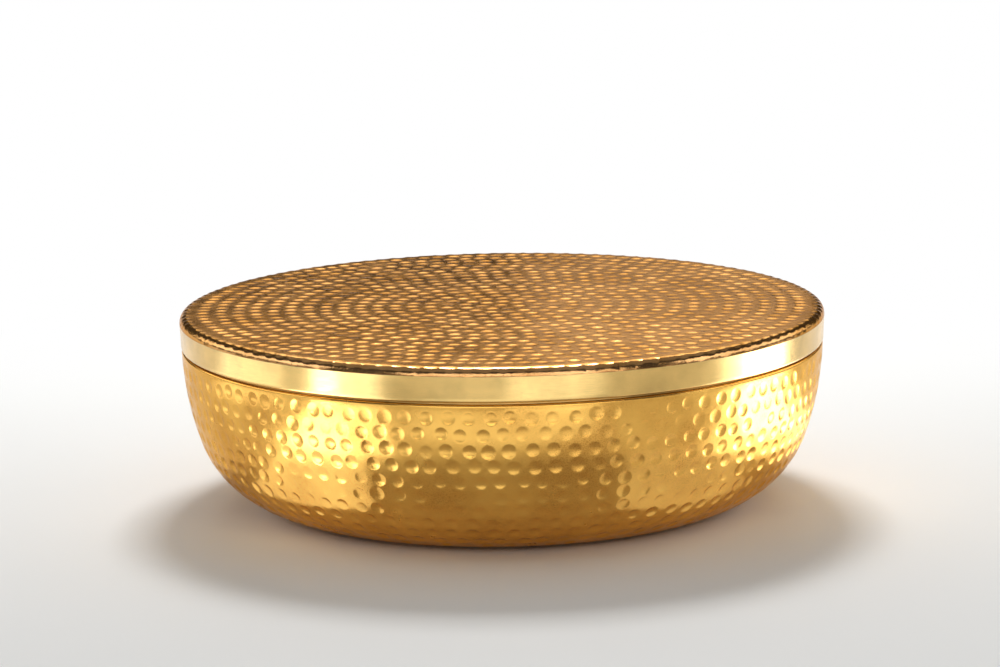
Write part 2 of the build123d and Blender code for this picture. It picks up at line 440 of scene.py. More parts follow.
def lid_marks(hammering):
    """Lay the rings of marks from the lid's middle to its corner."""
    rng = np.random.default_rng(hammering.seed)
    reach = hammering.diameter / 2
    rows = [np.array([[0.0, 0.0, reach, reach, hammering.depth]])]
    last_ring = hammering.first_ring + (hammering.rings - 1) * hammering.ring_pitch
    closing = (hammering.edge_start, last_ring)
    pitches = (hammering.pitch, hammering.edge_pitch)
    for index in range(hammering.rings):
        radius = hammering.first_ring + index * hammering.ring_pitch
        pitch = np.interp(radius, closing, pitches)
        count = round(2 * pi * radius / pitch)
        phase = rng.random()
        rows.append(mark_row(rng, radius, count, phase, hammering, reach, reach, hammering.depth))
    corner = (hammering.corner_reach, reach, hammering.corner_depth)
    count = hammering.corner_count
    rows.append(mark_row(rng, hammering.corner_distance, count, 0.0, hammering, *corner))
    return np.concatenate(rows)


def mark_axes(sheet, marks):
    """Give each mark's middle, its direction away from the sheet's middle, and the one round it."""
    middle, _ = sheet.place(marks[:, 0], marks[:, 1])
    heading = sheet.at(marks[:, 0])[2]
    azimuth = marks[:, 1]
    outward = (np.cos(heading) * np.cos(azimuth), np.cos(heading) * np.sin(azimuth), np.sin(heading))
    hoop = (-np.sin(azimuth), np.cos(azimuth), np.zeros_like(azimuth))
    return middle, np.stack(outward, -1), np.stack(hoop, -1)


def nearest_mark(points, middles, chunk=4000):
    """Give the index of the mark nearest to each point."""
    squares = (middles**2).sum(1)
    found = [np.argmin(squares - 2 * part @ middles.T, axis=1) for part in batches(points, chunk)]
    return np.concatenate(found)


def batches(points, chunk):
    """Cut an array into shorter ones."""
    return [points[i : i + chunk] for i in range(0, len(points), chunk)]


def flat_map(distance, azimuth):
    """Put points of a sheet on its flattened disc."""
    return np.stack((distance * np.cos(azimuth), distance * np.sin(azimuth)), -1)


def mark_rings(sheet, marks, rings):
    """Place points on rings round every mark, as distances, azimuths and the marks' indices."""
    distances, azimuths, owners = [], [], []
    for share, count in rings:
        for k in range(count):
            angle = 2 * pi * k / count
            forward = share * marks[:, 2] * cos(angle)
            sideways = share * marks[:, 3] * sin(angle)
            distance = sheet.walk(marks[:, 0], forward)
            radius, _, heading = sheet.at(distance)
            azimuth = marks[:, 1] + np.arctan2(sideways, radius)
            stretch = (np.hypot(radius, sideways) - np.abs(radius)) * np.cos(heading)
            distances.append(np.abs(distance) + stretch)
            azimuths.append(azimuth)
            owners.append(np.arange(len(marks)))
    return np.concatenate(distances), np.concatenate(azimuths), np.concatenate(owners)


def filler_points(sheet, marks, axes, rows, clear):
    """Place points between the marks, on rows of distance, count and phase."""
    distance = np.concatenate([np.full(count, d) for d, count, _ in rows])
    azimuth = np.concatenate([(np.arange(count) + phase) * 2 * pi / count for _, count, phase in rows])
    middle, outward, hoop = axes
    points, _ = sheet.place(distance, azimuth)
    near = nearest_mark(points, middle)
    offset = points - middle[near]
    along = (offset * outward[near]).sum(1) / marks[near, 2]
    across = (offset * hoop[near]).sum(1) / marks[near, 3]
    kept = np.hypot(along, across) > clear
    return distance[kept], azimuth[kept]


def even_rows(rng, spacing, limit):
    """Give rows of filler points evenly spaced over a sheet, up to a distance."""
    rows = []
    for distance in np.arange(spacing, limit, spacing):
        rows.append((distance, max(5, round(2 * pi * distance / spacing)), rng.random()))
    return rows


def triangulate(sheet, marks, rings, filler_rows, clear):
    """Cover a sheet's flattened disc with triangles that follow its marks.

    Gives the distances, azimuths and triangles. The first points are the ring at the sheet's edge.
    """
    axes = mark_axes(sheet, marks)
    edge_azimuth = np.arange(ROUND_STEPS) * 2 * pi / ROUND_STEPS
    ring_distance, ring_azimuth, owner = mark_rings(sheet, marks, rings)
    points, _ = sheet.place(ring_distance, ring_azimuth)
    own = nearest_mark(points, axes[0]) == owner
    own &= ring_distance < sheet.reach - MARK_EDGE_MARGIN
    filler_distance, filler_azimuth = filler_points(sheet, marks, axes, filler_rows, clear)
    distance = np.concatenate((np.full(ROUND_STEPS, sheet.reach), ring_distance[own], filler_distance))
    azimuth = np.concatenate((edge_azimuth, ring_azimuth[own], filler_azimuth))
    flat = [Vector(p) for p in flat_map(distance, azimuth)]
    _, _, triangles, sources, _, _ = delaunay_2d_cdt(flat, [], [], 0, MERGE_DISTANCE, True)
    source = np.array([ids[0] for ids in sources])
    order = np.argsort(source, kind="stable")
    rank = np.empty_like(order)
    rank[order] = np.arange(len(order))
    kept = source[order]
    return distance[kept], azimuth[kept], rank[np.array(triangles)]


def new_mesh(name, points, faces):
    """Make a mesh from points and faces."""
    mesh = bpy.data.meshes.new(name)
    mesh.from_pydata([tuple(p) for p in points], [], [tuple(int(i) for i in f) for f in faces])
    mesh.validate()
    return mesh


def new_object(name, mesh):
    """Put a mesh in the scene."""
    piece = bpy.data.objects.new(name, mesh)
    bpy.context.scene.collection.objects.link(piece)
    return piece


def smooth(piece, angle=SHARP_ANGLE):
    """Shade a piece smooth, but for edges sharper than an angle in degrees."""
    mesh = piece.data
    mesh.polygons.foreach_set("use_smooth", [True] * len(mesh.polygons))
    mesh.set_sharp_from_angle(angle=radians(angle))
    mesh.update()
    return piece


def set_values(mesh, name, kind, values):
    """Store one value for each of a mesh's points."""
    attribute = mesh.attributes.new(name, kind, "POINT")
    field = "vector" if kind == "FLOAT_VECTOR" else "value"
    attribute.data.foreach_set(field, np.asarray(values, np.float32).ravel())


def sheet_mesh(name, sheet, thickness, outer, inner, edge):
    """Join a sheet's two faces by its turned edge, given as points from the outer to the inner face."""
    outer_points, outer_inward = sheet.place(outer[0], outer[1])
    inner_points, inner_inward = sheet.place(inner[0], inner[1], thickness)
    edge_azimuth = np.arange(ROUND_STEPS) * 2 * pi / ROUND_STEPS
    turned = [
        np.stack((r * np.cos(edge_azimuth), r * np.sin(edge_azimuth), np.full(ROUND_STEPS, z)), -1)
        for r, z in edge
    ]
    points = np.concatenate((outer_points, inner_points, *turned))
    flip = sheet.inward_side > 0
    outer_faces = outer[2][:, ::-1] if flip else outer[2]
    inner_faces = inner[2] if flip else inner[2][:, ::-1]
    faces = list(outer_faces) + list(inner_faces + len(outer_points))
    first = len(outer_points) + len(inner_points)
    starts = [0] + [first + i * ROUND_STEPS for i in range(len(edge))] + [len(outer_points)]
    for near, far in zip(starts, starts[1:]):
        for k in range(ROUND_STEPS):
            following = (k + 1) % ROUND_STEPS
            quad = (near + k, near + following, far + following, far + k)
            faces.append(quad if flip else quad[::-1])
    mesh = new_mesh(name, points, faces)
    still = np.zeros(ROUND_STEPS * len(edge))
    free = [np.clip((sheet.reach - part[0]) / STIFF_EDGE, 0, 1) for part in (outer, inner)]
    set_values(mesh, "inward", "FLOAT_VECTOR", np.concatenate((outer_inward, inner_inward, *turned)))
    set_values(mesh, "free", "FLOAT", np.concatenate((*free, still)))
    return mesh


# Node trees


def set_inputs(tree, node, inputs):
    """Set a node's inputs, or link them to a socket or to another node's first output."""
    for name, value in inputs.items():
        source = value.outputs[0] if isinstance(value, Node) else value
        if isinstance(source, NodeSocket):
            tree.links.new(source, node.inputs[name])
        else:
            node.inputs[name].default_value = source


def add_node(tree, kind, inputs=None, **settings):
    """Add a node, set its properties, and set or link its inputs."""
    node = tree.nodes.new(kind)
    for name, value in settings.items():
        setattr(node, name, value)
    set_inputs(tree, node, inputs or {})
    return node


def new_tree(name, sockets):
    """Start a geometry tree with named inputs, and give it with the sockets that they arrive at."""
    tree = bpy.data.node_groups.new(name, "GeometryNodeTree")
    tree.interface.new_socket(name="Geometry", in_out="OUTPUT", socket_type="NodeSocketGeometry")
    tree.interface.new_socket(name="Geometry", in_out="INPUT", socket_type="NodeSocketGeometry")
    for socket, kind in sockets.items():
        tree.interface.new_socket(name=socket, in_out="INPUT", socket_type=kind)
    return tree, add_node(tree, "NodeGroupInput").outputs


def end_tree(tree, geometry, material):
    """End a geometry tree in real, painted geometry."""
    real = add_node(tree, "GeometryNodeRealizeInstances", {0: geometry})
    painted = add_node(tree, "GeometryNodeSetMaterial", {"Geometry": real, "Material": material})
    add_node(tree, "NodeGroupOutput", {0: painted})


def grow(name, tree, mesh, values):
    """Run a geometry tree on a mesh and give the result as a plain mesh in the scene."""
    host = new_object(name, mesh)
    modifier = host.modifiers.new("Grow", "NODES")
    modifier.node_group = tree
    for item in tree.interface.items_tree:
        if item.in_out == "INPUT" and item.name in values:
            modifier[item.identifier] = values[item.name]
    depsgraph = bpy.context.evaluated_depsgraph_get()
    grown = bpy.data.meshes.new_from_object(host.evaluated_get(depsgraph), depsgraph=depsgraph)
    host.modifiers.clear()
    host.data = grown
    grown.name = name
    return host


def hammer_tree():
    """Build the tree that dents a sheet at its marks and lets it stray a little between them."""
    sockets = {
        "Marks": "NodeSocketObject",
        "Dish": "NodeSocketFloat",
        "Waviness": "NodeSocketFloat",
        "Wave": "NodeSocketFloat",
        "Seed": "NodeSocketFloat",
        "Material": "NodeSocketMaterial",
    }
    tree, given = new_tree("Hammer marks", sockets)
    marks = add_node(tree, "GeometryNodeObjectInfo", {"Object": given["Marks"]}).outputs["Geometry"]
    place = add_node(tree, "GeometryNodeInputPosition")
    inputs = {"Geometry": marks, "Sample Position": place}
    nearest = add_node(tree, "GeometryNodeSampleNearest", inputs, domain="POINT")

    # What the nearest mark holds: its middle, its two directions, its reach along them, its depth
    kinds = {"outward": "FLOAT_VECTOR", "hoop": "FLOAT_VECTOR", "reach": "FLOAT_VECTOR", "depth": "FLOAT"}
    stored = {
        name: (add_node(tree, "GeometryNodeInputNamedAttribute", {"Name": name}, data_type=kind), kind)
        for name, kind in kinds.items()
    }
    stored["middle"] = (place, "FLOAT_VECTOR")
    mark = {}
    for name, (value, kind) in stored.items():
        inputs = {"Geometry": marks, "Value": value, "Index": nearest}
        mark[name] = add_node(tree, "GeometryNodeSampleIndex", inputs, data_type=kind, domain="POINT")

    # Where the point lies in that mark, as a share of its reach
    offset = add_node(tree, "ShaderNodeVectorMath", {0: place, 1: mark["middle"]}, operation="SUBTRACT")
    along, across = [
        add_node(tree, "ShaderNodeVectorMath", {0: offset, 1: mark[name]}, operation="DOT_PRODUCT")
        for name in ("outward", "hoop")
    ]
    flat = add_node(
        tree, "ShaderNodeCombineXYZ", {0: along.outputs["Value"], 1: across.outputs["Value"]}
    )
    scaled = add_node(tree, "ShaderNodeVectorMath", {0: flat, 1: mark["reach"]}, operation="DIVIDE")
    share = add_node(tree, "ShaderNodeVectorMath", {0: scaled}, operation="LENGTH").outputs["Value"]
    curve = add_node(tree, "ShaderNodeMath", {0: share, 1: given["Dish"]}, operation="POWER")
    hollow = add_node(tree, "ShaderNodeMath", {0: 1.0, 1: curve}, operation="SUBTRACT", use_clamp=True)
    dent = add_node(tree, "ShaderNodeMath", {0: hollow, 1: mark["depth"]}, operation="MULTIPLY")

    # How far the sheet strays there, and the whole depth by which the point moves inward
    frequency = add_node(tree, "ShaderNodeMath", {0: 1.0, 1: given["Wave"]}, operation="DIVIDE")
    inputs = {"Vector": place, "W": given["Seed"], "Scale": frequency, "Detail": 1.0}
    swell = add_node(tree, "ShaderNodeTexNoise", inputs, noise_dimensions="4D")
    free = add_node(tree, "GeometryNodeInputNamedAttribute", {"Name": "free"}, data_type="FLOAT")
    loose = add_node(tree, "ShaderNodeMath", {0: given["Waviness"], 1: free}, operation="MULTIPLY")
    stray = add_node(tree, "ShaderNodeMath", {0: swell, 1: loose}, operation="MULTIPLY")
    depth = add_node(tree, "ShaderNodeMath", {0: dent, 1: stray}, operation="ADD")
    inputs = {"Name": "inward"}
    inward = add_node(tree, "GeometryNodeInputNamedAttribute", inputs, data_type="FLOAT_VECTOR")
    push = add_node(tree, "ShaderNodeVectorMath", {0: inward, "Scale": depth}, operation="SCALE")
    inputs = {"Geometry": given["Geometry"], "Offset": push}
    end_tree(tree, add_node(tree, "GeometryNodeSetPosition", inputs), given["Material"])
    return tree


def pad_tree():
    """Build the tree that sets copies of one pad evenly round a circle."""
    sockets = {
        "Pad": "NodeSocketObject",
        "Count": "NodeSocketInt",
        "Circle": "NodeSocketFloat",
        "First angle": "NodeSocketFloat",
        "Height": "NodeSocketFloat",
        "Material": "NodeSocketMaterial",
    }
    tree, given = new_tree("Pads on a circle", sockets)
    inputs = {"Vertices": given["Count"], "Radius": given["Circle"]}
    ring = add_node(tree, "GeometryNodeMeshCircle", inputs)
    rotation = add_node(tree, "ShaderNodeCombineXYZ", {2: given["First angle"]})
    rise = add_node(tree, "ShaderNodeCombineXYZ", {2: given["Height"]})
    inputs = {"Geometry": ring, "Rotation": rotation, "Translation": rise}
    turned = add_node(tree, "GeometryNodeTransform", inputs)
    pad = add_node(tree, "GeometryNodeObjectInfo", {"Object": given["Pad"], "As Instance": True})
    inputs = {"Points": turned, "Instance": pad.outputs["Geometry"]}
    end_tree(tree, add_node(tree, "GeometryNodeInstanceOnPoints", inputs), given["Material"])
    return tree


# Turned pieces


def turned_mesh(name, outline, steps=ROUND_STEPS, stray=None):
    """Turn a closed outline of radius and height, which may run either way, about the axis.

    An outline whose first and last points are on the axis is closed there by two poles. stray, if
    given, returns how far a point moves toward the axis for its azimuth and height.
    """
    area = sum(a[0] * b[1] - b[0] * a[1] for a, b in zip(outline, outline[1:] + outline[:1]))
    if area < 0:
        outline = outline[::-1]
    poled = outline[0][0] == 0 and outline[-1][0] == 0
    body = outline[1:-1] if poled else outline
    points = []
    for radius, height in body:
        for k in range(steps):
            azimuth = 2 * pi * k / steps
            r = radius - (stray(azimuth, height) if stray else 0)
            points.append((r * cos(azimuth), r * sin(azimuth), height))
    faces = []
    rows = len(body)
    for row in range(rows - 1 if poled else rows):
        near, far = row * steps, (row + 1) % rows * steps
        for k in range(steps):
            following = (k + 1) % steps
            faces.append((near + k, near + following, far + following, far + k))
    if poled:
        bottom, top = len(points), len(points) + 1
        points += [(0, 0, outline[0][1]), (0, 0, outline[-1][1])]
        last = (rows - 1) * steps
        for k in range(steps):
            following = (k + 1) % steps
            faces.append((bottom, following, k))
            faces.append((top, last + k, last + following))
    return new_mesh(name, points, faces)


def hammer(name, mesh, sheet, marks, hammering, material):
    """Dent a sheet at its marks with the hammer tree."""
    middle, outward, hoop = mark_axes(sheet, marks)
    points = new_mesh(name + "_marks", middle, [])
    reach = np.stack((marks[:, 2], marks[:, 3], np.ones(len(marks))), -1)
    set_values(points, "outward", "FLOAT_VECTOR", outward)
    set_values(points, "hoop", "FLOAT_VECTOR", hoop)
    set_values(points, "reach", "FLOAT_VECTOR", reach)
    set_values(points, "depth", "FLOAT", marks[:, 4])
    holder = new_object(name + "_marks", points)
    values = {
        "Marks": holder,
        "Dish": hammering.dish,
        "Waviness": hammering.waviness,
        "Wave": hammering.wave,
        "Seed": float(hammering.seed),
        "Material": material,
    }
    piece = grow(name, hammer_tree(), mesh, values)
    for used in ("inward", "free"):
        piece.data.attributes.remove(piece.data.attributes[used])
    bpy.data.objects.remove(holder)
    return smooth(piece)


def band_lean():
    """Give the angle in degrees by which the band leans in from the corner to its hem."""
    run_in, run_down = LID_RADIUS - HEM_CENTRE[0], BAND_TOP_Z - HEM_CENTRE[1]
    return degrees(acos(HEM_ROLL / hypot(run_in, run_down)) - atan2(run_down, run_in))


# Materials


def dimmed(shade, share):
    """Give a colour at a share of its brightness."""
    return tuple(min(1, share * c) for c in shade)


def new_material(name, inputs):
    """Make a material with one Principled shader, and give it with its tree and shader."""
    material = bpy.data.materials.new(name)
    material.use_nodes = True
    tree = material.node_tree
    shader = tree.nodes["Principled BSDF"]
    set_inputs(tree, shader, inputs)
    return material, tree, shader


def hammered_brass(name, bright, dull, edge, roughness, grain):
    """Hammered brass sheet: clear gold highlights, with a duller tone in soft patches.

    The sheet is planished and lacquered, so the eye sees a slightly blurred mirror. Patches 70 mm
    apart are duller, and specks 1.5 mm apart, drawn coarser than the real polishing grain so that
    they show, break up the highlights. The blur changes over 30 mm.
    """
    inputs = {"Metallic": 1.0, "Specular Tint": rgba(edge), "Coat Weight": 0.12, "Coat Roughness": 0.12}
    material, tree, shader = new_material(name, inputs)
    place = add_node(tree, "ShaderNodeTexCoord").outputs["Object"]
    inputs = {"Vector": place, "Scale": 1 / (70 * MM), "Detail": 3.0}
    clouds = add_node(tree, "ShaderNodeTexNoise", inputs)
    inputs = {"Value": clouds, "From Min": 0.38, "From Max": 0.66}
    patches = add_node(tree, "ShaderNodeMapRange", inputs)
    inputs = {"Vector": place, "Scale": 1 / (1.5 * MM), "Detail": 2.0, "Roughness": 0.6}
    specks = add_node(tree, "ShaderNodeTexNoise", inputs)
    inputs = {"Value": specks, "From Min": 0.5, "From Max": 0.75}
    clear_specks = add_node(tree, "ShaderNodeMapRange", inputs)
    tone = add_node(tree, "ShaderNodeMath", {0: patches, 1: clear_specks}, operation="MULTIPLY")
    soft = add_node(tree, "ShaderNodeMath", {0: patches, 1: 0.45}, operation="MULTIPLY")
    worn = add_node(tree, "ShaderNodeMath", {0: soft, 1: tone}, operation="ADD", use_clamp=True)
    inputs = {MIX_SHARE: worn, MIX_FIRST: rgba(bright), MIX_SECOND: rgba(dull)}
    mixed = add_node(tree, "ShaderNodeMix", inputs, data_type="RGBA")
    inputs = {"Vector": place, "Scale": 1 / (30 * MM), "Detail": 3.0}
    haze = add_node(tree, "ShaderNodeTexNoise", inputs)
    inputs = {
        "Value": haze,
        "From Min": 0.35,
        "From Max": 0.7,
        "To Min": roughness - 0.04,
        "To Max": roughness + 0.07,
    }
    blur = add_node(tree, "ShaderNodeMapRange", inputs)
    slope = add_node(tree, "ShaderNodeBump", {"Height": specks, "Distance": grain, "Strength": 1.0})
    inputs = {"Base Color": mixed.outputs[MIX_RESULT], "Roughness": blur, "Normal": slope}
    set_inputs(tree, shader, inputs)
    return material


def smooth_brass(name, bright, wear, roughness, scratch_scale):
    """Smooth brass strip: a clearer mirror with fine scratches that run round it.

    The strip is spun and polished, so hairlines run round the bowl. They are 0.6 mm apart, coarser
    than real polishing lines so that they show. The polish has dulled in patches 55 mm apart and
    in specks 2.5 mm apart, down to the share of its brightness that wear gives.
    """
    material, tree, shader = new_material(name, {"Metallic": 1.0})
    place = add_node(tree, "ShaderNodeTexCoord").outputs["Object"]
    drawn = add_node(tree, "ShaderNodeMapping", {"Vector": place, "Scale": scratch_scale})
    inputs = {"Vector": drawn, "Scale": 1 / (0.6 * MM), "Detail": 2.0, "Roughness": 0.6}
    hairlines = add_node(tree, "ShaderNodeTexNoise", inputs)
    inputs = {"Vector": place, "Scale": 1 / (55 * MM), "Detail": 4.0}
    clouds = add_node(tree, "ShaderNodeTexNoise", inputs)
    inputs = {"Value": clouds, "From Min": 0.42, "From Max": 0.7}
    patches = add_node(tree, "ShaderNodeMapRange", inputs)
    inputs = {"Vector": place, "Scale": 1 / (2.5 * MM), "Detail": 2.0}
    dust = add_node(tree, "ShaderNodeTexNoise", inputs)
    inputs = {"Value": dust, "From Min": 0.68, "From Max": 0.8}
    specks = add_node(tree, "ShaderNodeMapRange", inputs)
    worn = add_node(tree, "ShaderNodeMath", {0: patches, 1: specks}, operation="MAXIMUM")
    inputs = {MIX_SHARE: worn, MIX_FIRST: rgba(bright), MIX_SECOND: rgba(dimmed(bright, wear))}
    mixed = add_node(tree, "ShaderNodeMix", inputs, data_type="RGBA")
    inputs = {
        "Value": hairlines,
        "From Min": 0.3,
        "From Max": 0.7,
        "To Min": roughness - 0.04,
        "To Max": roughness + 0.06,
    }
    blur = add_node(tree, "ShaderNodeMapRange", inputs)
    inputs = {"Height": hairlines, "Distance": 0.01 * MM, "Strength": 1.0}
    slope = add_node(tree, "ShaderNodeBump", inputs)
    inputs = {"Base Color": mixed.outputs[MIX_RESULT], "Roughness": blur, "Normal": slope}
    set_inputs(tree, shader, inputs)
    return material


def drawn_steel(shade):
    """Drawn steel wire: grey, half bright, with fine die lines 0.3 mm apart."""
    material, tree, shader = new_material("Drawn steel wire", {"Metallic": 1.0})
    place = add_node(tree, "ShaderNodeTexCoord").outputs["Object"]
    drawn = add_node(tree, "ShaderNodeMapping", {"Vector": place, "Scale": (0.05, 0.05, 1)})
    inputs = {"Vector": drawn, "Scale": 1 / (0.3 * MM), "Detail": 2.0}
    lines = add_node(tree, "ShaderNodeTexNoise", inputs)
    inputs = {MIX_SHARE: lines, MIX_FIRST: rgba(shade), MIX_SECOND: rgba(dimmed(shade, 0.6))}
    mixed = add_node(tree, "ShaderNodeMix", inputs, data_type="RGBA")
    inputs = {"Value": lines, "From Min": 0.3, "From Max": 0.7, "To Min": 0.28, "To Max": 0.42}
    blur = add_node(tree, "ShaderNodeMapRange", inputs)
    set_inputs(tree, shader, {"Base Color": mixed.outputs[MIX_RESULT], "Roughness": blur})
    return material


def birch_plywood(face, core):
    """Sanded birch plywood: pale straight grain on the faces, and dark and light plies in the edge.

    Grain lines run along X, 2.5 mm apart, with faint darker clouds 60 mm apart. The plies are
    2.6 mm thick, dark and light in turn, and show where the surface stands upright.
    """
    material, tree, shader = new_material("Birch plywood", {"Roughness": 0.55})
    place = add_node(tree, "ShaderNodeTexCoord").outputs["Object"]
    along = add_node(tree, "ShaderNodeMapping", {"Vector": place, "Scale": (0.06, 1, 1)})
    inputs = {"Vector": along, "Scale": 1 / (2.5 * MM), "Detail": 4.0, "Roughness": 0.6}
    grain = add_node(tree, "ShaderNodeTexNoise", inputs)
    broad = add_node(tree, "ShaderNodeMapping", {"Vector": place, "Scale": (0.3, 1, 1)})
    inputs = {"Vector": broad, "Scale": 1 / (60 * MM), "Detail": 2.0}
    clouds = add_node(tree, "ShaderNodeTexNoise", inputs)
    inputs = {"Value": grain, "From Min": 0.35, "From Max": 0.75}
    clear_grain = add_node(tree, "ShaderNodeMapRange", inputs)
    inputs = {MIX_SHARE: clear_grain, MIX_FIRST: rgba(face), MIX_SECOND: rgba(dimmed(face, 0.82))}
    light = add_node(tree, "ShaderNodeMix", inputs, data_type="RGBA")
    height = add_node(tree, "ShaderNodeSeparateXYZ", {0: place}).outputs["Z"]
    ply = add_node(tree, "ShaderNodeMath", {0: height, 1: 1 / (2.6 * MM)}, operation="MULTIPLY")
    layer = add_node(tree, "ShaderNodeMath", {0: ply, 1: 1.0}, operation="PINGPONG")
    inputs = {"Value": layer, "From Min": 0.45, "From Max": 0.55}
    clear_layer = add_node(tree, "ShaderNodeMapRange", inputs)
    normal = add_node(tree, "ShaderNodeNewGeometry").outputs["Normal"]
    facing = add_node(tree, "ShaderNodeSeparateXYZ", {0: normal}).outputs["Z"]
    level = add_node(tree, "ShaderNodeMath", {0: facing}, operation="ABSOLUTE")
    edge = add_node(tree, "ShaderNodeMapRange", {"Value": level, "From Min": 0.6, "From Max": 0.3})
    plies = add_node(tree, "ShaderNodeMath", {0: edge, 1: clear_layer}, operation="MULTIPLY")
    inputs = {"Value": clouds, "From Min": 0.4, "From Max": 0.8, "To Min": 0.0, "To Max": 0.25}
    faint_clouds = add_node(tree, "ShaderNodeMapRange", inputs)
    toned = add_node(tree, "ShaderNodeMath", {0: faint_clouds, 1: plies}, operation="MAXIMUM")
    inputs = {MIX_SHARE: toned, MIX_FIRST: light.outputs[MIX_RESULT], MIX_SECOND: rgba(core)}
    wood = add_node(tree, "ShaderNodeMix", inputs, data_type="RGBA")
    inputs = {"Height": grain, "Distance": 0.05 * MM, "Strength": 1.0}
    slope = add_node(tree, "ShaderNodeBump", inputs)
    set_inputs(tree, shader, {"Base Color": wood.outputs[MIX_RESULT], "Normal": slope})
    return material


def moulded_rubber(shade):
    """Moulded black rubber: matt, with a fine grain 0.4 mm apart."""
    material, tree, shader = new_material("Moulded rubber", {"Roughness": 0.7})
    place = add_node(tree, "ShaderNodeTexCoord").outputs["Object"]
    inputs = {"Vector": place, "Scale": 1 / (0.4 * MM), "Detail": 2.0}
    grain = add_node(tree, "ShaderNodeTexNoise", inputs)
    inputs = {MIX_SHARE: grain, MIX_FIRST: rgba(shade), MIX_SECOND: rgba(dimmed(shade, 1.8))}
    mixed = add_node(tree, "ShaderNodeMix", inputs, data_type="RGBA")
    inputs = {"Height": grain, "Distance": 0.03 * MM, "Strength": 1.0}
    slope = add_node(tree, "ShaderNodeBump", inputs)
    set_inputs(tree, shader, {"Base Color": mixed.outputs[MIX_RESULT], "Normal": slope})
    return material


def pressed_felt(shade):
    """Pressed wool felt: soft, dull brown, with fibres about 0.8 mm apart."""
    material, tree, shader = new_material("Pressed felt", {"Roughness": 0.95, "Sheen Weight": 0.4})
    place = add_node(tree, "ShaderNodeTexCoord").outputs["Object"]
    inputs = {"Vector": place, "Scale": 1 / (0.8 * MM), "Detail": 4.0, "Roughness": 0.7}
    fibres = add_node(tree, "ShaderNodeTexNoise", inputs)
    inputs = {"Value": fibres, "From Min": 0.35, "From Max": 0.7}
    clear_fibres = add_node(tree, "ShaderNodeMapRange", inputs)
    inputs = {MIX_SHARE: clear_fibres, MIX_FIRST: rgba(shade), MIX_SECOND: rgba(dimmed(shade, 1.7))}
    mixed = add_node(tree, "ShaderNodeMix", inputs, data_type="RGBA")
    inputs = {"Height": fibres, "Distance": 0.25 * MM, "Strength": 1.0}
    slope = add_node(tree, "ShaderNodeBump", inputs)
    set_inputs(tree, shader, {"Base Color": mixed.outputs[MIX_RESULT], "Normal": slope})
    return material


def background_share(tree):
    """Give 1 for the rays that see the background: from the camera, in metal or through glass."""
    path = add_node(tree, "ShaderNodeLightPath")
    seen = path.outputs["Is Camera Ray"]
    for ray in ("Is Glossy Ray", "Is Transmission Ray"):
        inputs = {0: seen, 1: path.outputs[ray]}
        seen = add_node(tree, "ShaderNodeMath", inputs, operation="MAXIMUM")
    return seen


def studio_white(shade, studio):
    """Matt studio floor: lit by the lamps in front and round the bowl, and plain white farther off."""
    inputs = {"Base Color": rgba(shade), "Roughness": 0.9}
    material, tree, shader = new_material("Studio floor", inputs)
    place = add_node(tree, "ShaderNodeTexCoord").outputs["Object"]
    inputs = {0: place, 1: (0, -studio.floor_middle, 0)}
    distance = add_node(tree, "ShaderNodeVectorMath", inputs, operation="DISTANCE").outputs["Value"]
    inputs = {"Value": distance, "From Min": studio.near_floor, "From Max": studio.far_floor}
    ramp = add_node(tree, "ShaderNodeMapRange", inputs, interpolation_type="SMOOTHSTEP")
    share = add_node(tree, "ShaderNodeMath", {0: ramp, 1: background_share(tree)}, operation="MULTIPLY")
    white = add_node(tree, "ShaderNodeEmission", {"Color": (1, 1, 1, 1), "Strength": 1.0})
    mixed = add_node(tree, "ShaderNodeMixShader", {0: share, 1: shader, 2: white})
    set_inputs(tree, tree.nodes["Material Output"], {"Surface": mixed})
    return material


# Operators


def settings():
    """Give the scene's settings."""
    return bpy.context.scene.brass_bowl


class AddBowl(Operator):
    """Add the hammered bowl with its rolled rim"""

    bl_idname = "brass_bowl.add_bowl"
    bl_label = "Hammered Bowl"

    def execute(self, context):
        shape, hammering, finish = settings().bowl, settings().bowl_hammering, settings().finishes
        sheet, _ = bowl_sheet(shape)
        marks = bowl_marks(sheet, hammering)
        rng = np.random.default_rng(hammering.seed)
        limit = sheet.reach - BOWL_EDGE_MARGIN
        filler = even_rows(rng, OUTER_ROW_PITCH, limit)
        outer = triangulate(sheet, marks, OUTER_RINGS, filler, BOWL_OUTER_CLEARANCE)
        filler = even_rows(rng, INNER_ROW_PITCH, limit)
        inner = triangulate(sheet, marks, INNER_RINGS, filler, BOWL_INNER_CLEARANCE)
        lean = degrees(shape.mouth_lean)
        wrap = degrees(shape.roll_wrap)
        bore = RIM_ROLL - shape.sheet
        edge = bend_points(RIM_CENTRE, RIM_ROLL, -lean, wrap, ROLL_STEPS)[1:]
        edge += bend_points(RIM_CENTRE, bore, wrap - lean, -wrap, ROLL_STEPS)[:-1]
        mesh = sheet_mesh("bowl_hammered", sheet, shape.sheet, outer, inner, edge)
        material = hammered_brass(
            "Hammered polished brass",
            finish.brass,
            finish.brass_dull,
            finish.brass_edge,
            roughness=0.21,
            grain=0.03 * MM,
        )
        piece = hammer("bowl_hammered", mesh, sheet, marks, hammering, material)
        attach(piece, "bowl")
        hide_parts("bowl_shell")
        return {"FINISHED"}


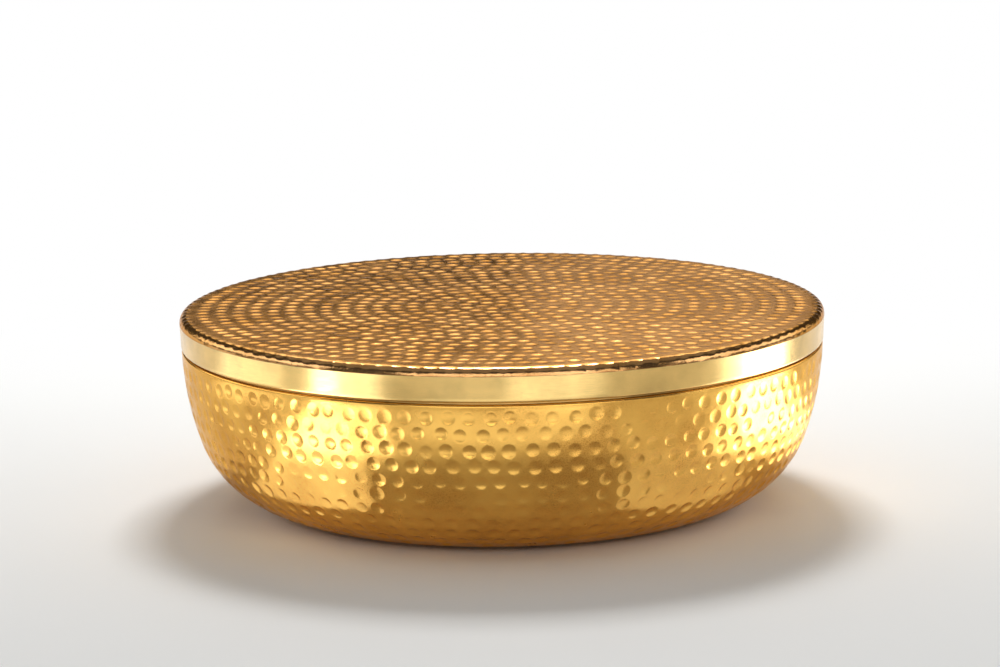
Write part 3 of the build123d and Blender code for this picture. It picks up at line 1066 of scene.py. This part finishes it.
class AddCollar(Operator):
    """Add the locating collar that is brazed inside the mouth"""

    bl_idname = "brass_bowl.add_collar"
    bl_label = "Locating Collar"

    def execute(self, context):
        shape, bowl, finish = settings().collar, settings().bowl, settings().finishes
        _, wall_centre = bowl_sheet(bowl)
        land = bowl.wall_radius - bowl.sheet - shape.land_gap
        upright = MOUTH_RADIUS - 2 * RIM_ROLL - shape.land_gap
        outer_bend = shape.bend_radius + shape.sheet
        bottom_angle = degrees(-np.arcsin((wall_centre[1] - COLLAR_BOTTOM_Z) / land))
        top_z = COLLAR_BOTTOM_Z + shape.land_height
        top_angle = degrees(-np.arcsin((wall_centre[1] - top_z) / land))
        joggle_z = top_z + shape.joggle_height
        bend_centre = (upright - outer_bend, COLLAR_TOP_Z - outer_bend)
        bore = upright - outer_bend - shape.seat_width
        inner = upright - shape.sheet
        land_turn = top_angle - bottom_angle
        seat_z = COLLAR_TOP_Z - shape.sheet
        outline = bend_points(wall_centre, land, bottom_angle, land_turn, COLLAR_STEPS)
        outline += [(upright, joggle_z)]
        outline += bend_points(bend_centre, outer_bend, 0, 90, COLLAR_STEPS)
        outline += [(bore + shape.ease, COLLAR_TOP_Z), (bore, COLLAR_TOP_Z - shape.ease)]
        outline += [(bore, seat_z + shape.ease), (bore + shape.ease, seat_z)]
        outline += bend_points(bend_centre, shape.bend_radius, 90, -90, COLLAR_STEPS)
        outline += [(inner, joggle_z)]
        outline += bend_points(wall_centre, land - shape.sheet, top_angle, -land_turn, COLLAR_STEPS)
        piece = smooth(new_object("collar", turned_mesh("collar", outline)))
        hairlines = (0.05, 0.05, 1)
        brass = smooth_brass(
            "Satin brass", finish.collar_brass, wear=0.7, roughness=0.34, scratch_scale=hairlines
        )
        piece.data.materials.append(brass)
        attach(piece, "bowl")
        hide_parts("locating_collar")
        return {"FINISHED"}


class AddPads(Operator):
    """Add the rubber pads on the collar's seat and the felt pads under the base"""

    bl_idname = "brass_bowl.add_pads"
    bl_label = "Pads"

    def execute(self, context):
        shape, finish = settings().pads, settings().finishes
        tree = pad_tree()
        rubber = moulded_rubber(finish.rubber)
        self.add(tree, "rest_pad", shape.rest_diameter, shape.edge, rubber, "rest_rubber")
        felt = pressed_felt(finish.felt)
        self.add(tree, "base_pad", shape.base_diameter, shape.edge, felt, "base_felt")
        return {"FINISHED"}

    def add(self, tree, node, diameter, edge, material, slot):
        """Set pads round a circle in place of a series of CAD nodes."""
        names = sorted(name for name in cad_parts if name.startswith(node))
        low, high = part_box(names[0])
        centre = (low + high) / 2
        thickness = high.z - low.z
        radius = diameter / 2
        outline = [(0, 0)]
        outline += bend_points((radius - edge, edge), edge, -90, 90, PAD_EDGE_STEPS)
        outline += bend_points((radius - edge, thickness - edge), edge, 0, 90, PAD_EDGE_STEPS)
        outline += [(0, thickness)]
        source = new_object(node + "_source", turned_mesh(node + "_source", outline, PAD_STEPS))
        smooth(source, PAD_SHARP_ANGLE)
        values = {
            "Pad": source,
            "Count": len(names),
            "Circle": hypot(centre.x, centre.y),
            "First angle": atan2(centre.y, centre.x),
            "Height": low.z,
            "Material": material,
        }
        piece = grow(node + "s", tree, bpy.data.meshes.new(node), values)
        smooth(piece, PAD_SHARP_ANGLE)
        bpy.data.objects.remove(source)
        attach(piece, "bowl")
        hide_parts(*names)


class AddLidTop(Operator):
    """Add the hammered lid top with its rounded corner and joggled flange"""

    bl_idname = "brass_bowl.add_lid_top"
    bl_label = "Hammered Lid"

    def execute(self, context):
        shape, hammering, finish = settings().lid, settings().lid_hammering, settings().finishes
        sheet = lid_sheet(shape)
        marks = lid_marks(hammering)
        rng = np.random.default_rng(hammering.seed)
        limit = sheet.reach - LID_EDGE_MARGIN
        corner_rows = [
            (sheet.reach - row * CORNER_ROW_PITCH, ROUND_STEPS, 0.0) for row in range(1, CORNER_ROWS + 1)
        ]
        filler = even_rows(rng, OUTER_ROW_PITCH, limit) + corner_rows
        outer = triangulate(sheet, marks, OUTER_RINGS, filler, LID_CLEARANCE)
        filler = even_rows(rng, INNER_ROW_PITCH, limit) + corner_rows[::2]
        inner = triangulate(sheet, marks, INNER_RINGS, filler, LID_CLEARANCE)
        mesh = sheet_mesh("lid_hammered", sheet, shape.sheet, outer, inner, self.flange(shape))
        # The lid's colours carry painted shade: darker brass that stands in for the dimmer reflection on
        # its top.
        material = hammered_brass(
            "Hammered brass painted darker",
            finish.lid_painted_shade_brass,
            finish.lid_painted_shade_dull,
            finish.lid_painted_shade_edge,
            roughness=0.17,
            grain=0.08 * MM,
        )
        piece = hammer("lid_hammered", mesh, sheet, marks, hammering, material)
        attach(piece, "lid")
        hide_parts("lid_top")
        return {"FINISHED"}

    def flange(self, shape):
        """Give the flange's points from the corner's outer face to its inner face."""
        lean = radians(band_lean())
        corner_z = LID_TOP_Z - shape.corner_radius
        top_z = corner_z - shape.joggle_drop

        def face(z):
            band_inner = LID_RADIUS - shape.sheet / cos(lean) - (BAND_TOP_Z - z) * tan(lean)
            return band_inner - shape.lap_gap

        top, bottom = face(top_z), face(FLANGE_BOTTOM_Z)
        return [
            (top, top_z),
            (bottom, FLANGE_BOTTOM_Z),
            (bottom - shape.sheet, FLANGE_BOTTOM_Z),
            (top - shape.sheet, top_z),
        ]


class AddLidBand(Operator):
    """Add the smooth band with its rolled hem"""

    bl_idname = "brass_bowl.add_lid_band"
    bl_label = "Lid Band"

    def execute(self, context):
        shape, finish = settings().lid, settings().finishes
        lean = band_lean()
        wrap = degrees(shape.hem_wrap)
        bore = HEM_ROLL - shape.sheet
        corner_z = LID_TOP_Z - shape.corner_radius
        top = (LID_RADIUS, BAND_TOP_Z)
        hem_top = around(HEM_CENTRE, HEM_ROLL, -lean)
        band_inner = shape.sheet / cos(radians(lean))
        flange_top = LID_RADIUS - band_inner - shape.joggle_drop * tan(radians(lean)) - shape.lap_gap
        bevel_z = BAND_TOP_Z - shape.joggle_drop / (LID_RADIUS - flange_top) * shape.sheet
        bevel = (LID_RADIUS - band_inner - (BAND_TOP_Z - bevel_z) * tan(radians(lean)), bevel_z)
        slant = (hem_top[0] - top[0], hem_top[1] - top[1])
        outline = [
            (top[0] + slant[0] * i / BAND_ROWS, top[1] + slant[1] * i / BAND_ROWS)
            for i in range(BAND_ROWS)
        ]
        outline += bend_points(HEM_CENTRE, HEM_ROLL, -lean, -wrap, ROLL_STEPS)
        outline += bend_points(HEM_CENTRE, bore, -lean - wrap, wrap, ROLL_STEPS)
        outline += [bevel]
        height = corner_z - BAND_BOTTOM_Z

        def stray(azimuth, z):
            """Let the planished strip stray inward between its stiff corner and hem."""
            share = min(max((z - BAND_BOTTOM_Z) / height, 0), 1)
            place = Vector((cos(azimuth), sin(azimuth), z / height)) * BAND_SWELLS
            return shape.band_waviness * sin(pi * share) * (0.5 + 0.5 * noise.noise(place))

        mesh = turned_mesh("lid_band_smooth", outline, stray=stray)
        piece = smooth(new_object("lid_band_smooth", mesh))
        hairlines = (0.03, 0.03, 1)
        brass = smooth_brass(
            "Polished brass strip", finish.band_brass, wear=0.72, roughness=0.2, scratch_scale=hairlines
        )
        piece.data.materials.append(brass)
        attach(piece, "lid")
        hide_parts("lid_band")
        return {"FINISHED"}


class AddBoard(Operator):
    """Add the plywood board under the lid's top"""

    bl_idname = "brass_bowl.add_board"
    bl_label = "Lid Board"

    def execute(self, context):
        shape, finish = settings().lid, settings().finishes
        upper = max(BOARD_RADIUS - (LID_RADIUS - shape.corner_radius), shape.board_edge)
        lower = shape.board_edge
        outline = [
            (0, BOARD_BOTTOM_Z),
            (BOARD_RADIUS - lower, BOARD_BOTTOM_Z),
            (BOARD_RADIUS, BOARD_BOTTOM_Z + lower),
            (BOARD_RADIUS, BOARD_TOP_Z - upper),
            (BOARD_RADIUS - upper, BOARD_TOP_Z),
            (0, BOARD_TOP_Z),
        ]
        piece = smooth(new_object("board", turned_mesh("board", outline)))
        piece.data.materials.append(birch_plywood(finish.ply_face, finish.ply_core))
        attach(piece, "lid")
        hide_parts("lid_board")
        return {"FINISHED"}


class PaintWires(Operator):
    """Give the two steel wires their finish"""

    bl_idname = "brass_bowl.paint_wires"
    bl_label = "Wires"

    def execute(self, context):
        material = drawn_steel(settings().finishes.steel)
        for node in ("rim_wire", "hem_wire"):
            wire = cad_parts[node]
            wire.data.materials.clear()
            wire.data.materials.append(material)
        return {"FINISHED"}


class AddStudio(Operator):
    """Add the floor, the lamps and the camera"""

    bl_idname = "brass_bowl.add_studio"
    bl_label = "Studio"

    def execute(self, context):
        studio, finish = settings().studio, settings().finishes
        radius, height = studio.floor_radius, studio.cove_height
        points = [(0, 0, 0)]
        for r, z in ((FLOOR_MIDDLE_RADIUS, 0), (radius, 0), (radius, height)):
            for k in range(FLOOR_STEPS):
                azimuth = 2 * pi * k / FLOOR_STEPS
                points.append((r * cos(azimuth), r * sin(azimuth), z))
        faces = [(0, 1 + k, 1 + (k + 1) % FLOOR_STEPS) for k in range(FLOOR_STEPS)]
        for near in (1, 1 + FLOOR_STEPS):
            far = near + FLOOR_STEPS
            for k in range(FLOOR_STEPS):
                following = (k + 1) % FLOOR_STEPS
                faces.append((near + k, far + k, far + following, near + following))
        floor = new_object("floor", new_mesh("floor", points, faces))
        floor.data.materials.append(studio_white(finish.floor, studio))
        bpy.context.scene.view_settings.view_transform = "Standard"
        self.light_world(studio)
        self.add_lamps()
        self.add_camera(studio)
        return {"FINISHED"}

    def light_world(self, studio):
        """Make the room above the cove an even grey."""
        world = bpy.data.worlds.new("Studio grey")
        bpy.context.scene.world = world
        world.use_nodes = True
        background = world.node_tree.nodes["Background"]
        set_inputs(world.node_tree, background, {"Color": (1, 1, 1, 1), "Strength": studio.sky})

    def add_lamps(self):
        """Add the softboxes round the bowl and the cards of light on the floor.

        Each row gives the azimuth from the camera's side toward +X, the distance from the axis and
        the height, then for a softbox the height on the axis that it points at, and last the
        width, the length and the brightness. A card faces straight up.
        """
        softboxes = (
            ("key", 180, 1.4, 2.3, 0.0, 0.7, 0.7, 30.0),
            ("left", -98, 2.3, 1.1, 0.2, 3.3, 0.85, 1.8),
            ("right", 98, 2.3, 1.1, 0.2, 3.3, 0.85, 1.8),
            ("top", 0, 0.0, 3.0, 0.0, 4.4, 4.4, 0.22),
            ("front_bar", 3, 2.6, 1.1, 0.2, 4.0, 0.75, 1.8),
            ("front_wall", 5, 3.2, 0.35, 0.3, 3.6, 0.66, 1.2),
            ("back", 180, 3.4, 1.56, 0.2, 2.0, 1.06, 0.8),
            ("back_right", 174, 3.3, 0.95, 0.2, 0.6, 0.4, 0.5),
            ("back_high", 180, 2.6, 2.1, 0.2, 2.4, 1.0, 2.0),
        )
        cards = (
            ("left_card", -45, 0.95, 0.004, 0.36, 0.8, 1.9),
            ("left_near_card", -48, 0.50, 0.006, 0.26, 0.26, 1.1),
            ("left_core", -50, 0.72, 0.01, 0.2, 0.3, 3.8),
            ("left_far_card", -86, 1.1, 0.006, 0.6, 0.5, 1.2),
            ("left_window", -54, 1.15, 0.012, 0.16, 0.2, 12.0),
            ("front_card", 15, 1.22, 0.004, 0.55, 0.45, 1.2),
            ("front_mid_card", 0, 0.84, 0.006, 0.7, 0.4, 0.62),
            ("right_card", 84, 0.86, 0.004, 0.55, 0.8, 2.0),
            ("right_core", 82, 0.74, 0.01, 0.28, 0.4, 8.5),
            ("right_near_card", 44, 0.46, 0.006, 0.26, 0.2, 0.5),
            ("right_window", 90, 1.15, 0.012, 0.45, 0.2, 12.0),
        )
        for name, azimuth, distance, height, aim_height, *look in softboxes:
            self.add_lamp(name, azimuth, distance, height, (0.0, aim_height), look, WHITE)
        for name, azimuth, distance, height, *look in cards:
            self.add_lamp(name, azimuth, distance, height, (distance, CARD_AIM_HEIGHT), look, DAYLIGHT)

    def add_lamp(self, name, azimuth, distance, height, aim, look, tint):
        """Add one lamp.

        aim is the distance and height that it points at, and look its width, length and brightness.
        """
        aim_distance, aim_height = aim
        width, length, brightness = look
        lamp = bpy.data.lights.new(name, "AREA")
        lamp.shape = "RECTANGLE"
        lamp.size, lamp.size_y = width, length
        lamp.color = linear(tint)
        lamp.energy = brightness * pi * width * length
        holder = new_object(name, lamp)
        outward = Vector((sin(radians(azimuth)), -cos(radians(azimuth)), 0))
        sideways = Vector((cos(radians(azimuth)), sin(radians(azimuth)), 0))
        place = outward * distance + Vector((0, 0, height))
        back = (place - outward * aim_distance - Vector((0, 0, aim_height))).normalized()
        turned = Matrix((sideways, back.cross(sideways), back)).transposed().to_4x4()
        holder.matrix_world = Matrix.Translation(place) @ turned
        holder.visible_camera = False

    def add_camera(self, studio):
        """Set the camera where the photograph was taken from."""
        across, up = studio.distance * cos(studio.elevation), studio.distance * sin(studio.elevation)
        place = Vector((0, -across, studio.aim_height + up))
        forward = (Vector((studio.aim_x, 0, studio.aim_z)) - place).normalized()
        level = forward.cross(Vector((0, 0, 1))).normalized()
        upright = level.cross(forward)
        right = cos(studio.roll) * level + sin(studio.roll) * upright
        top = right.cross(forward)
        data = bpy.data.cameras.new("Camera")
        data.sensor_width = SENSOR_WIDTH_MM
        data.lens = CAMERA_FOCAL_PIXELS * SENSOR_WIDTH_MM / PHOTO_WIDTH
        camera = new_object("Camera", data)
        turned = Matrix((right, top, -forward)).transposed().to_4x4()
        camera.matrix_world = Matrix.Translation(place) @ turned
        bpy.context.scene.camera = camera


class BowlSettings(PropertyGroup):
    """All that a user would change."""

    bowl: group(BowlShape, "Bowl", "The bowl's sheet")
    lid: group(LidShape, "Lid", "The lid's sheets")
    collar: group(CollarShape, "Collar", "The locating collar")
    pads: group(PadShape, "Pads", "The rest pads and the base pads")
    bowl_hammering: group(BowlHammering, "Bowl hammering", "Marks on the bowl")
    lid_hammering: group(LidHammering, "Lid hammering", "Marks on the lid")
    finishes: group(Finishes, "Finishes", "Colours")
    studio: group(Studio, "Studio", "Camera, floor and lights")


OPERATORS = (AddBowl, AddCollar, AddPads, AddLidTop, AddLidBand, AddBoard, PaintWires, AddStudio)
SHAPES = (BowlShape, LidShape, CollarShape, PadShape)
GROUPS = (*SHAPES, BowlHammering, LidHammering, Finishes, Studio, BowlSettings)


class BrassBowlPanel(Panel):
    """Lists the pieces and their settings"""

    bl_idname = "VIEW3D_PT_brass_bowl"
    bl_label = "Brass Bowl"
    bl_space_type = "VIEW_3D"
    bl_region_type = "UI"
    bl_category = "Brass Bowl"

    def draw(self, context):
        layout = self.layout
        for operator in OPERATORS:
            layout.operator(operator.bl_idname)
        for name in BowlSettings.__annotations__:
            part = getattr(context.scene.brass_bowl, name)
            box = layout.box()
            box.label(text=BowlSettings.bl_rna.properties[name].name)
            for setting in type(part).__annotations__:
                box.prop(part, setting)


CLASSES = (*GROUPS, *OPERATORS, BrassBowlPanel)


def register():
    """Register the classes and the scene's settings."""
    for item in CLASSES:
        bpy.utils.register_class(item)
    bpy.types.Scene.brass_bowl = group(BowlSettings, "Brass bowl", "Settings of the brass bowl")


def unregister():
    """Remove the scene's settings and the classes."""
    del bpy.types.Scene.brass_bowl
    for item in reversed(CLASSES):
        bpy.utils.unregister_class(item)


def main():
    """Make the bowl, its lid and the studio."""
    register()
    bpy.ops.brass_bowl.add_bowl()
    bpy.ops.brass_bowl.add_collar()
    bpy.ops.brass_bowl.add_pads()
    bpy.ops.brass_bowl.add_lid_top()
    bpy.ops.brass_bowl.add_lid_band()
    bpy.ops.brass_bowl.add_board()
    bpy.ops.brass_bowl.paint_wires()
    bpy.ops.brass_bowl.add_studio()


if __name__ == "__main__":
    main()
